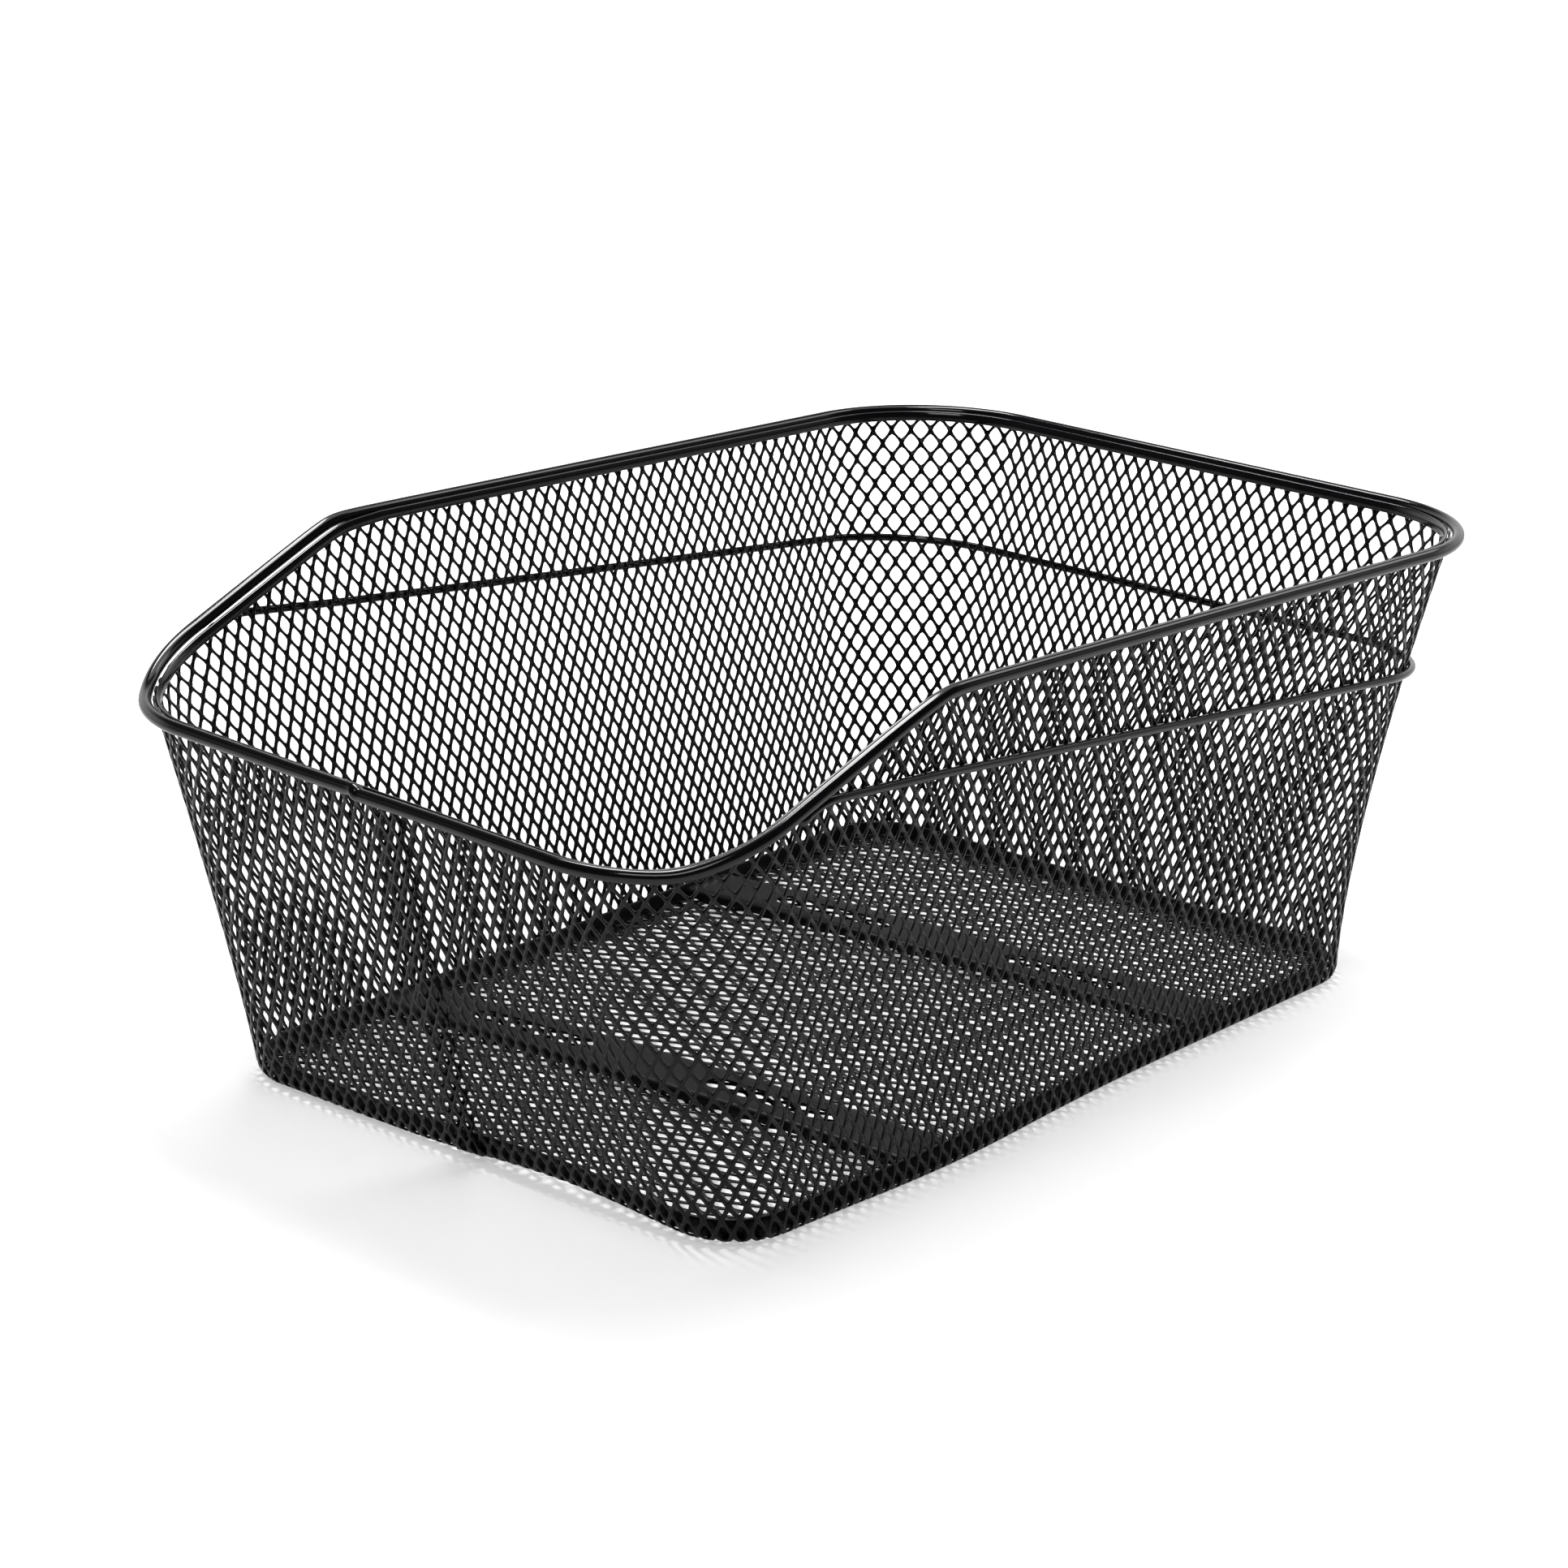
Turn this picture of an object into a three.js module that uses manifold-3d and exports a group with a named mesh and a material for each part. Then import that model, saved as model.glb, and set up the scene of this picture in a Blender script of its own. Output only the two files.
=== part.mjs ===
// Bicycle basket for a rear carrier: an expanded-metal tub with a lowered front end.
// Millimetres, +X towards the high rear end, +Y to the far side, +Z up, standing on z = 0.
import * as THREE from "three";
import { mergeVertices } from "three/addons/utils/BufferGeometryUtils.js";
import Module from "manifold-3d";

const wasm = await Module();
wasm.setup();

// Tub footprint and flare
const BOTTOM_LENGTH = 347;
const BOTTOM_WIDTH = 240;
const BOTTOM_CORNER = 27;
const FLARE_HEIGHT = 170;
const FLARE_POWER = 1.28;
const FRONT_FLARE = 47;
const REAR_FLARE = 38;
const SIDE_FLARE = 24;
const CORNER_FLARE = 29.4;

// Rim line seen from the side, heights of the wire's centre
const FRONT_RIM_HEIGHT = 137.7;
const BEND_RIM_HEIGHT = 178.5;
const REAR_RIM_HEIGHT = 170;
const SLOPE_START = 12;
const SLOPE_RUN = 92;
const BEND_SOFTNESS = 12;

// Wires and strips
const RIM_DIAMETER = 4.6;
const MID_DIAMETER = 3;
const BAND_HEIGHT = 5;
const BAND_THICKNESS = 1.2;
const BAND_DROP = 1;
const HOOP_HEIGHT = 7;
const HOOP_THICKNESS = 1.5;

// Reinforcing wire: how far its line lies below the rim's bend and rear, and the run of each welded end
const MID_BEND_DROP = 19;
const MID_REAR_DROP = 53.7;
const MID_END_RUN = 12;

// Expanded sheet of the wall
const STRAND_DEPTH = 2;
const STRAND_WIDTH = 3.4;
const COLUMNS = 52;
const ROWS = 9;
const LIP = 8;

// Expanded floor panel
const FLOOR_THICKNESS = 1.4;
const FLOOR_PITCH = 38;
const FLOOR_STRAND = 5;
const FLOOR_BORDER = 4;
const FLOOR_CUT = 0.25;

// Slotted carrier straps
const STRAP_WIDTH = 24;
const STRAP_HEIGHT = 6;
const STRAP_THICKNESS = 1.5;
const STRAP_BEND = 2.5;
const STRAP_FRONT_X = -82;
const STRAP_REAR_X = 76;
const SLOT_LENGTH = 54;
const SLOT_WIDTH = 8.5;
const SLOT_CENTRE = 53;

// Fit and facet counts
const CLEARANCE = 0.3;
const CORNER_STEPS = 9;
const SIDE_STEPS = 16;
const END_STEPS = 4;
const RIM_SIDES = 10;
const MID_SIDES = 8;
const BEND_STEPS = 3;
const SLOT_STEPS = 6;
const SETTLE_ROUNDS = 8;
const LEAST_OPENING = 0.15;

const halfDepth = STRAND_DEPTH / 2;
const rimRadius = RIM_DIAMETER / 2;
const midRadius = MID_DIAMETER / 2;

// Share of the full outward lean that the wall has at a height
const flareAt = (z) => Math.pow(Math.max(z, 0) / FLARE_HEIGHT, FLARE_POWER);

// Rounded rectangle of the wall's middle surface at a height, moved outwards by a distance
function planAt(z, out) {
  const lean = flareAt(z);
  return {
    front: BOTTOM_LENGTH / 2 + FRONT_FLARE * lean + out,
    rear: BOTTOM_LENGTH / 2 + REAR_FLARE * lean + out,
    half: BOTTOM_WIDTH / 2 + SIDE_FLARE * lean + out,
    corner: BOTTOM_CORNER + CORNER_FLARE * lean + out,
  };
}

// Straight and curved stretches of that outline, from the middle of the front, near side first
function stretches(plan) {
  const { front, rear, half, corner } = plan;
  const inner = half - corner;
  const back = rear - corner;
  const fore = -front + corner;
  const line = (x0, y0, x1, y1) => ({
    length: Math.hypot(x1 - x0, y1 - y0),
    at: (t) => [x0 + (x1 - x0) * t, y0 + (y1 - y0) * t],
  });
  const arc = (cx, cy, start) => ({
    length: (corner * Math.PI) / 2,
    at: (t) => {
      const angle = start + (t * Math.PI) / 2;
      return [cx + corner * Math.cos(angle), cy + corner * Math.sin(angle)];
    },
  });
  return [
    line(-front, 0, -front, -inner),
    arc(fore, -inner, Math.PI),
    line(fore, -half, back, -half),
    arc(back, -inner, 1.5 * Math.PI),
    line(rear, -inner, rear, inner),
    arc(back, inner, 0),
    line(back, half, fore, half),
    arc(fore, inner, Math.PI / 2),
    line(-front, inner, -front, 0),
  ];
}

// Point of the outline at a station, a stretch number plus the share of that stretch
function stationPoint(station, z, out) {
  const parts = stretches(planAt(z, out));
  const index = Math.min(Math.floor(station), parts.length - 1);
  return parts[index].at(station - index);
}

// Station that lies at a share of the outline's length
function stationOfShare(share, z, out) {
  const parts = stretches(planAt(z, out));
  const total = parts.reduce((sum, part) => sum + part.length, 0);
  let rest = (share - Math.floor(share)) * total;
  let index = 0;
  while (index < parts.length - 1 && rest > parts[index].length) {
    rest -= parts[index].length;
    index += 1;
  }
  return index + rest / parts[index].length;
}

// Softened hinge: zero before the break and a straight climb after it
const hinge = (run) => 0.5 * (run + Math.hypot(run, BEND_SOFTNESS));

// Height of the rim wire's centre at a place along the basket
const slopeStart = -(planAt(FRONT_RIM_HEIGHT, 0).front - SLOPE_START);
const slopeEnd = slopeStart + SLOPE_RUN;
const rearEnd = planAt(REAR_RIM_HEIGHT, 0).rear;
const climb = (BEND_RIM_HEIGHT - FRONT_RIM_HEIGHT) / SLOPE_RUN;
const fall = (REAR_RIM_HEIGHT - BEND_RIM_HEIGHT) / (rearEnd - slopeEnd);
const rimHeight = (x) => FRONT_RIM_HEIGHT + climb * hinge(x - slopeStart) + (fall - climb) * hinge(x - slopeEnd);

// Height of the reinforcing wire's centre: straight along the wall, then under the rim at its ends
const midStart = BEND_RIM_HEIGHT - MID_BEND_DROP;
const midFall = (REAR_RIM_HEIGHT - MID_REAR_DROP - midStart) / (rearEnd - slopeStart);
const midDrop = (rimRadius + midRadius + CLEARANCE) * Math.hypot(1, climb) + CLEARANCE;
const midRun = (x) => midStart + midFall * (x - slopeStart);
function midHeight(x) {
  const under = rimHeight(x) - midDrop;
  const over = midRun(x) - under;
  return under + over - 0.5 * (over + Math.hypot(over, midRadius));
}

// Point on the wall at a station where the height follows a line along the basket
function followLine(station, heightOf, out) {
  let z = heightOf(0);
  let place = stationPoint(station, z, out);
  for (let round = 0; round < SETTLE_ROUNDS; round += 1) {
    z = heightOf(place[0]);
    place = stationPoint(station, z, out);
  }
  return new THREE.Vector3(place[0], place[1], z);
}

// Stations all round the basket, closer together in the corners
function roundStations() {
  const steps = [END_STEPS, CORNER_STEPS, SIDE_STEPS, CORNER_STEPS, 2 * END_STEPS];
  const counts = [...steps, CORNER_STEPS, SIDE_STEPS, CORNER_STEPS, END_STEPS];
  return counts.flatMap((count, index) => Array.from({ length: count }, (_, k) => index + k / count));
}

// Closed solid from points and triangles, turned so that its faces point out
function solid(points, triangles) {
  let volume = 0;
  const normal = new THREE.Vector3();
  for (const [a, b, c] of triangles) {
    volume += points[a].dot(normal.crossVectors(points[b], points[c]));
  }
  const faces = volume > 0 ? triangles : triangles.map(([a, b, c]) => [a, c, b]);
  const geometry = new THREE.BufferGeometry();
  geometry.setAttribute("position", new THREE.Float32BufferAttribute(points.flatMap((p) => p.toArray()), 3));
  geometry.setIndex(faces.flat());
  geometry.computeVertexNormals();
  return geometry;
}

// Loft through sections of equal point count: a closed ring, or a bar with flat ends
function loft(sections, closed) {
  const sides = sections[0].length;
  const points = sections.flat();
  const triangles = [];
  const spans = closed ? sections.length : sections.length - 1;
  for (let k = 0; k < spans; k += 1) {
    const here = k * sides;
    const next = ((k + 1) % sections.length) * sides;
    for (let s = 0; s < sides; s += 1) {
      const t = (s + 1) % sides;
      triangles.push([here + s, here + t, next + t], [here + s, next + t, next + s]);
    }
  }
  const last = (sections.length - 1) * sides;
  for (let s = 1; !closed && s < sides - 1; s += 1) {
    triangles.push([0, s + 1, s], [last, last + s, last + s + 1]);
  }
  return solid(points, triangles);
}

// Round section square to a path at each of its points
function roundSections(path, radius, sides, closed) {
  const count = path.length;
  return path.map((point, k) => {
    const before = path[closed ? (k + count - 1) % count : Math.max(k - 1, 0)];
    const after = path[closed ? (k + 1) % count : Math.min(k + 1, count - 1)];
    const along = after.clone().sub(before).normalize();
    const across = new THREE.Vector3(along.y, -along.x, 0).normalize();
    const upward = new THREE.Vector3().crossVectors(across, along).normalize();
    return Array.from({ length: sides }, (_, s) => {
      const angle = ((s + 0.5) * 2 * Math.PI) / sides;
      const sideways = across.clone().multiplyScalar(radius * Math.cos(angle));
      return point.clone().add(sideways).addScaledVector(upward, radius * Math.sin(angle));
    });
  });
}

// How far the middle of a facet lies inside a round corner
const arcSag = (radius, steps) => radius * (1 - Math.cos(Math.PI / 4 / steps));
const chordSag = (radius, chord) => radius - Math.sqrt(Math.max(radius * radius - (chord * chord) / 4, 0));

// Distances from the wall's middle surface
const topPlan = planAt(BEND_RIM_HEIGHT, 0);
const outlineLength = (z) => stretches(planAt(z, 0)).reduce((sum, part) => sum + part.length, 0);
const halfPitch = outlineLength(REAR_RIM_HEIGHT) / COLUMNS / 2;
const topSag = chordSag(planAt(FRONT_RIM_HEIGHT, 0).corner, halfPitch);
const bottomSag = chordSag(BOTTOM_CORNER, outlineLength(0) / COLUMNS / 2);
const leanShare = (FLARE_POWER * FRONT_FLARE) / FLARE_HEIGHT;
const leanSpread = rimRadius * (Math.hypot(1, leanShare) - 1);
const rimOut = halfDepth + CLEARANCE + arcSag(topPlan.corner, CORNER_STEPS) + leanSpread + rimRadius;
const midOut = halfDepth + CLEARANCE + arcSag(topPlan.corner, CORNER_STEPS) + leanSpread + midRadius;
const bandOut = -(halfDepth + CLEARANCE + topSag);
const hoopOut = -(halfDepth + CLEARANCE + bottomSag);

// Rim wire
function makeRimWire() {
  const path = roundStations().map((station) => followLine(station, rimHeight, rimOut));
  return loft(roundSections(path, rimRadius, RIM_SIDES, true), true);
}

// Flat strip that follows the wall between two height lines
function stripSections(topOf, tall, out, thick) {
  return roundStations().map((station) => {
    const top = followLine(station, topOf, out).z;
    const corner = (z, away) => new THREE.Vector3(...stationPoint(station, z, away), z);
    return [corner(top, out), corner(top, out - thick), corner(top - tall, out - thick), corner(top - tall, out)];
  });
}

// Reinforcing wire: from the near slope round the rear to the far slope
function makeMidWire() {
  let meet = slopeStart;
  while (midRun(meet) > rimHeight(meet) - midDrop) meet += MID_END_RUN / 8;
  const begin = meet - MID_END_RUN;
  const side = stretches(planAt(midHeight(meet), midOut))[2];
  const sideStart = side.at(0)[0];
  const first = 2 + (begin - sideStart) / side.length;
  const bend = 2 + (meet + MID_END_RUN - sideStart) / side.length;
  const ends = Array.from({ length: END_STEPS }, (_, k) => first + ((bend - first) * k) / END_STEPS);
  const nearSide = Array.from({ length: SIDE_STEPS }, (_, k) => bend + ((3 - bend) * k) / SIDE_STEPS);
  const corner = Array.from({ length: CORNER_STEPS }, (_, k) => 3 + k / CORNER_STEPS);
  const rearHalf = Array.from({ length: END_STEPS }, (_, k) => 4 + (0.5 * k) / END_STEPS);
  const half = [...ends, ...nearSide, ...corner, ...rearHalf];
  const mirrored = half.map((station) => 9 - station).reverse();
  const path = [...half, 4.5, ...mirrored].map((station) => followLine(station, midHeight, midOut));
  return loft(roundSections(path, midRadius, MID_SIDES, false), false);
}

// Expanded wall: diamonds between staggered nodes, each strand with a ridge outside and inside
function makeWallMesh() {
  const half = 2 * COLUMNS;
  const cellWide = halfPitch;
  const cellTall = FRONT_RIM_HEIGHT / (ROWS - 1);
  const cellReach = (cellWide * cellTall) / Math.hypot(cellWide, cellTall);
  const openShare = 1 - STRAND_WIDTH / 2 / cellReach;
  const tipReach = (1 - openShare) / 2;
  const points = [];
  const topHeights = new Map();
  const topOf = (column) => {
    if (!topHeights.has(column)) {
      let z = FRONT_RIM_HEIGHT;
      for (let round = 0; round < SETTLE_ROUNDS; round += 1) {
        const station = stationOfShare(column / half, z, 0);
        z = rimHeight(stationPoint(station, z, 0)[0]);
      }
      topHeights.set(column, z);
    }
    return topHeights.get(column);
  };
  // Lattice place to space: rows below 1 lie in the lip, row 1 is the bend, the rest climb the wall
  const place = (column, row, depth) => {
    const onLip = row < 1;
    const inset = onLip ? (1 - row) * LIP : 0;
    const drop = row <= 1 ? depth : 0;
    const rise = onLip ? 0 : ((row - 1) / (ROWS - 1)) * (topOf(column) - halfDepth);
    const z = halfDepth + rise;
    const out = (onLip ? 0 : depth) - inset;
    const station = stationOfShare(column / half, z, 0);
    const [x, y] = stationPoint(station, z, out);
    points.push(new THREE.Vector3(x, y, z - drop));
    return points.length - 1;
  };
  const nodes = new Map();
  const node = (column, row, side) => {
    const key = `${(column + half) % half},${row},${side}`;
    if (!nodes.has(key)) nodes.set(key, place((column + half) % half, row, side * halfDepth));
    return nodes.get(key);
  };
  const triangles = [];
  // Two sloped faces from a ridge edge to the edge of an opening, outside and inside
  const flank = (a, b, edgeA, edgeB) => {
    const outer = [node(...a, 1), node(...b, 1)];
    const inner = [node(...a, -1), node(...b, -1)];
    triangles.push([outer[0], outer[1], edgeB], [outer[0], edgeB, edgeA]);
    triangles.push([inner[1], inner[0], edgeA], [inner[1], edgeA, edgeB]);
  };
  for (let row = 1; row < ROWS; row += 1) {
    for (let column = (row + 1) % 2; column < half; column += 2) {
      const around = [[column - 1, row], [column, row - 1], [column + 1, row], [column, row + 1]];
      const toEdge = ([c, r]) => place(column + (c - column) * openShare, row + (r - row) * openShare, 0);
      const edges = around.map(toEdge);
      around.forEach((from, k) => flank(from, around[(k + 1) % 4], edges[k], edges[(k + 1) % 4]));
    }
  }
  // Zigzag borders at the lip and under the rim
  const zigzag = (row, inward) => {
    const rowOf = (column) => ((column + row) % 2 === 0 ? row : row + inward);
    const edgeRow = (column) => rowOf(column) - inward * ((column + row) % 2 === 0 ? tipReach : 1 - openShare);
    const edges = Array.from({ length: half }, (_, column) => place(column, edgeRow(column), 0));
    for (let column = 0; column < half; column += 1) {
      const next = (column + 1) % half;
      const a = inward > 0 ? next : column;
      const b = inward > 0 ? column : next;
      flank([a, rowOf(a)], [b, rowOf(b)], edges[a], edges[b]);
    }
  };
  zigzag(0, 1);
  zigzag(ROWS, -1);
  return solid(points, triangles);
}

// Levels of what lies in the bottom: sheet lip, floor panel, hoop and straps
const floorLevel = STRAND_DEPTH + CLEARANCE;
const seatLevel = floorLevel + FLOOR_THICKNESS + CLEARANCE;

// Outline of the wall at a height as points in plan
function outlinePoints(z, out) {
  const curved = (index) => index % 2 === 1;
  const spread = (part, count) => Array.from({ length: count }, (_, k) => part.at(k / count));
  return stretches(planAt(z, out)).flatMap((part, index) => spread(part, curved(index) ? CORNER_STEPS : 1));
}

// Part of a polygon that lies inside a convex outline
function clipInside(polygon, outline) {
  let kept = polygon;
  outline.forEach(([ax, ay], k) => {
    const [bx, by] = outline[(k + 1) % outline.length];
    const inside = ([x, y]) => (bx - ax) * (y - ay) - (by - ay) * (x - ax);
    const result = [];
    kept.forEach((here, n) => {
      const next = kept[(n + 1) % kept.length];
      const from = inside(here);
      const to = inside(next);
      if (from >= 0) result.push(here);
      if (from * to < 0) {
        const t = from / (from - to);
        result.push([here[0] + (next[0] - here[0]) * t, here[1] + (next[1] - here[1]) * t]);
      }
    });
    kept = result;
  });
  return kept;
}

const toVectors = (points) => points.map(([x, y]) => new THREE.Vector2(x, y));

// Half pitch that fits a whole number of diamonds into a half size, with the last ones cut past their middles
function fittedStep(half) {
  const count = Math.round((2 * half) / FLOOR_PITCH - FLOOR_CUT);
  return { count, step: half / (count + FLOOR_CUT) };
}

// Expanded floor panel: diamonds set on their points, cut off at the border
function makeFloorMesh() {
  const shape = new THREE.Shape(toVectors(outlinePoints(floorLevel, hoopOut)));
  const edge = outlinePoints(floorLevel, hoopOut - FLOOR_BORDER);
  const plan = planAt(floorLevel, hoopOut - FLOOR_BORDER);
  const middle = (plan.rear - plan.front) / 2;
  const { count: across, step: stepX } = fittedStep((plan.front + plan.rear) / 2);
  const { count: deep, step: stepY } = fittedStep(plan.half);
  const openShare = 1 - (FLOOR_STRAND * Math.hypot(stepX, stepY)) / (2 * stepX * stepY);
  const [reachX, reachY] = [stepX * openShare, stepY * openShare];
  for (let m = -across; m <= across; m += 1) {
    for (let n = -deep; n <= deep; n += 1) {
      const [x, y] = [middle + m * stepX, n * stepY];
      const diamond = [[x - reachX, y], [x, y - reachY], [x + reachX, y], [x, y + reachY]];
      const opening = (m + n) % 2 === 0 ? toVectors(clipInside(diamond, edge)) : [];
      const area = opening.length > 2 ? Math.abs(THREE.ShapeUtils.area(opening)) : 0;
      if (area > LEAST_OPENING * 2 * reachX * reachY) shape.holes.push(new THREE.Path(opening));
    }
  }
  const panel = new THREE.ExtrudeGeometry(shape, { depth: FLOOR_THICKNESS, bevelEnabled: false });
  return panel.translate(0, 0, floorLevel);
}

// Boolean cut of closed geometries
function toManifold(geometry) {
  const bare = geometry.clone();
  bare.deleteAttribute("normal");
  bare.deleteAttribute("uv");
  const merged = mergeVertices(bare, CLEARANCE / 1000);
  const vertProperties = new Float32Array(merged.attributes.position.array);
  const triVerts = new Uint32Array(merged.index.array);
  return new wasm.Manifold(new wasm.Mesh({ numProp: 3, vertProperties, triVerts }));
}
function fromManifold(body) {
  const mesh = body.getMesh();
  const geometry = new THREE.BufferGeometry();
  geometry.setAttribute("position", new THREE.BufferAttribute(Float32Array.from(mesh.vertProperties), 3));
  geometry.setIndex(Array.from(mesh.triVerts));
  geometry.computeVertexNormals();
  return geometry;
}

// Carrier strap: folded channel across the floor, with a long slot towards each side
function makeStrap() {
  const side = STRAP_WIDTH / 2;
  const shoulder = STRAP_HEIGHT - STRAP_BEND;
  const inner = STRAP_BEND - STRAP_THICKNESS;
  const length = 2 * (planAt(seatLevel, hoopOut - HOOP_THICKNESS).half - CLEARANCE);
  const profile = new THREE.Shape();
  profile.moveTo(-side, 0);
  profile.lineTo(-side + STRAP_THICKNESS, 0);
  profile.lineTo(-side + STRAP_THICKNESS, shoulder);
  profile.absarc(-side + STRAP_BEND, shoulder, inner, Math.PI, Math.PI / 2, true);
  profile.absarc(side - STRAP_BEND, shoulder, inner, Math.PI / 2, 0, true);
  profile.lineTo(side - STRAP_THICKNESS, 0);
  profile.lineTo(side, 0);
  profile.absarc(side - STRAP_BEND, shoulder, STRAP_BEND, 0, Math.PI / 2, false);
  profile.absarc(-side + STRAP_BEND, shoulder, STRAP_BEND, Math.PI / 2, Math.PI, false);
  const bar = { depth: length, bevelEnabled: false, curveSegments: BEND_STEPS };
  const channel = new THREE.ExtrudeGeometry(profile, bar).rotateX(Math.PI / 2).translate(0, length / 2, 0);
  const straight = SLOT_LENGTH / 2 - SLOT_WIDTH / 2;
  const slot = new THREE.Shape();
  slot.absarc(0, straight, SLOT_WIDTH / 2, 0, Math.PI, false);
  slot.absarc(0, -straight, SLOT_WIDTH / 2, Math.PI, 2 * Math.PI, false);
  const punch = { depth: 2 * STRAP_THICKNESS, bevelEnabled: false, curveSegments: SLOT_STEPS };
  const level = STRAP_HEIGHT - 1.5 * STRAP_THICKNESS;
  const cutter = (y) => toManifold(new THREE.ExtrudeGeometry(slot, punch).translate(0, y, level));
  return fromManifold(toManifold(channel).subtract(cutter(SLOT_CENTRE)).subtract(cutter(-SLOT_CENTRE)));
}

// Powder-coated steel: glossier on the wires than on the sheet
const wirePaint = { color: 0x121214, roughness: 0.28, metalness: 0.1 };
const sheetPaint = { color: 0x1b1a1c, roughness: 0.4, metalness: 0.1 };

const basket = new THREE.Group();
function addPiece(name, geometry, paint, x = 0, z = 0) {
  const piece = new THREE.Mesh(geometry, new THREE.MeshStandardMaterial(paint));
  piece.name = name;
  piece.position.set(x, 0, z);
  basket.add(piece);
}

addPiece("rim_wire", makeRimWire(), wirePaint);
const bandTop = (x) => rimHeight(x) - BAND_DROP;
addPiece("rim_inner_band", loft(stripSections(bandTop, BAND_HEIGHT, bandOut, BAND_THICKNESS), true), wirePaint);
addPiece("mid_wire", makeMidWire(), wirePaint);
addPiece("wall_mesh", makeWallMesh(), sheetPaint);
addPiece("floor_mesh", makeFloorMesh(), sheetPaint);
const hoopTop = () => seatLevel + HOOP_HEIGHT;
addPiece("floor_hoop", loft(stripSections(hoopTop, HOOP_HEIGHT, hoopOut, HOOP_THICKNESS), true), sheetPaint);
addPiece("strap_front", makeStrap(), sheetPaint, STRAP_FRONT_X, seatLevel);
addPiece("strap_rear", makeStrap(), sheetPaint, STRAP_REAR_X, seatLevel);

// Origin in the middle of the basket's box, on the surface it stands on
const box = new THREE.Box3().setFromObject(basket);
basket.position.set(-(box.min.x + box.max.x) / 2, -(box.min.y + box.max.y) / 2, -box.min.z);
basket.updateMatrixWorld(true);

export default basket;
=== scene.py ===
"""Looks of a black expanded-metal bicycle basket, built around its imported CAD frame."""

import math

import bmesh
import bpy
import numpy as np
from mathutils import Matrix, Vector


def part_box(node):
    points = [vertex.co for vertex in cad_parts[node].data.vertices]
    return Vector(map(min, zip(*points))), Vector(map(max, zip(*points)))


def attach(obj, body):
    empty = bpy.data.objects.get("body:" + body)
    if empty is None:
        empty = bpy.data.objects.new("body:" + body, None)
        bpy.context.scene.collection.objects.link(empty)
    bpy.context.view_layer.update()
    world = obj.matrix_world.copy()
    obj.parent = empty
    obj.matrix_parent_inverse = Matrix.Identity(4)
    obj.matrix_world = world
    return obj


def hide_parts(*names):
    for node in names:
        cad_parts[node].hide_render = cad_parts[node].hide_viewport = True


bl_info = {
    "name": "Expanded Metal Bicycle Basket",
    "version": (1, 0, 0),
    "blender": (4, 5, 0),
    "location": "View3D > Sidebar > Basket",
    "description": "Builds a tapered wire-mesh bicycle basket with a lowered front end",
    "category": "Object",
}

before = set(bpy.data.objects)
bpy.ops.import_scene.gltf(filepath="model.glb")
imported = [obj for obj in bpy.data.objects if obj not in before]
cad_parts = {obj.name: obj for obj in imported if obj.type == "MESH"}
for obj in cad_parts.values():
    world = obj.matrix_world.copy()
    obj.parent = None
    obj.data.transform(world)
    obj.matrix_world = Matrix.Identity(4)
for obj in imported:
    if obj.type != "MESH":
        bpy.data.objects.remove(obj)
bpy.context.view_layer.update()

MM = 0.001

# How far the tub's middle lies from the frame's, by the front strap's place on the tub
STRAP_FRONT_X = -82 * MM
strap_low, strap_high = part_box("strap_front")
FRAME_SHIFT = (strap_low.x + strap_high.x) / 2 - STRAP_FRONT_X

# Stretches of the tub's outline, from the middle of the front, near side first
ANGLE_START = math.pi * (1 + 0.5 * np.array([0, 0, 1, 1, 2, 2, 3, 3, 4]))
ANGLE_END = math.pi * (1 + 0.5 * np.array([0, 1, 1, 2, 2, 3, 3, 4, 4]))

# Rounds in which the heights of a line round the wall settle
SETTLE_ROUNDS = 8

# Where the bottom stands off the ground: start along the basket, middle and reach across it, height
LIFT_FROM, LIFT_CENTRE, LIFT_REACH, LIFT_HEIGHT = 100 * MM, -45 * MM, 50 * MM, 60 * MM

# Where the near long side bulges along the basket: middle and reach
BOW_CENTRE, BOW_REACH = -70 * MM, 60 * MM

# Openings: points round one, points of the ridge round it, and the least share of one that is kept
HOLE_POINTS, RIDGE_POINTS, LEAST_OPENING = 12, 8, 0.25

# Height over which the strands get thinner, and the least and greatest open share of a diamond
STRAND_HEIGHT = 130 * MM
OPEN_LIMITS = (0.5, 0.85)

# Which groups of an expanded sheet's faces are flat: only the cut faces, which come last
SHEET_FLAT = [False, False, False, False, False, True]

# How the wrapped sheet's rows dip, in millimetres, and its columns lean, by the share of the way round
WAY_ROUND = [0, 0.1, 0.25, 0.4, 0.5, 0.6, 0.75, 0.9, 1]
ROW_DIP = [-5, 0, 0, 0, 2, 5, -3, -12, -5]
COLUMN_LEAN = [0.07, 0, -0.02, 0.03, 0.1, 0.1, 0.1, 0.12, 0.07]

# Mean width of a wall diamond, and half rows tried below the bottom bend and above the rim
COLUMN_PITCH = 6 * MM
ROWS_BELOW, ROWS_ABOVE = 6, 8

# Stations along the lines round the wall, and sides of the round wires
RIM_LINE_STATIONS, STRIP_STATIONS = 2001, 720
RIM_STATIONS, RIM_SIDES = 900, 24
MID_STATIONS, MID_END_STATIONS, MID_SIDES = 500, 120, 16

# Rim's joint: share of the way round with close stations, their number, reach of its step and its bead
JOINT_SHARE, JOINT_STATIONS = 0.006, 61
STEP_REACH, BEAD_REACH = 1 * MM, 1.6 * MM

# Reinforcing wire: where on the way round its near end is looked for, and where its long part starts
END_SEARCH, SEARCH_STATIONS = (0.1, 0.4), 1201
END_SHARE = 0.2

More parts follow.
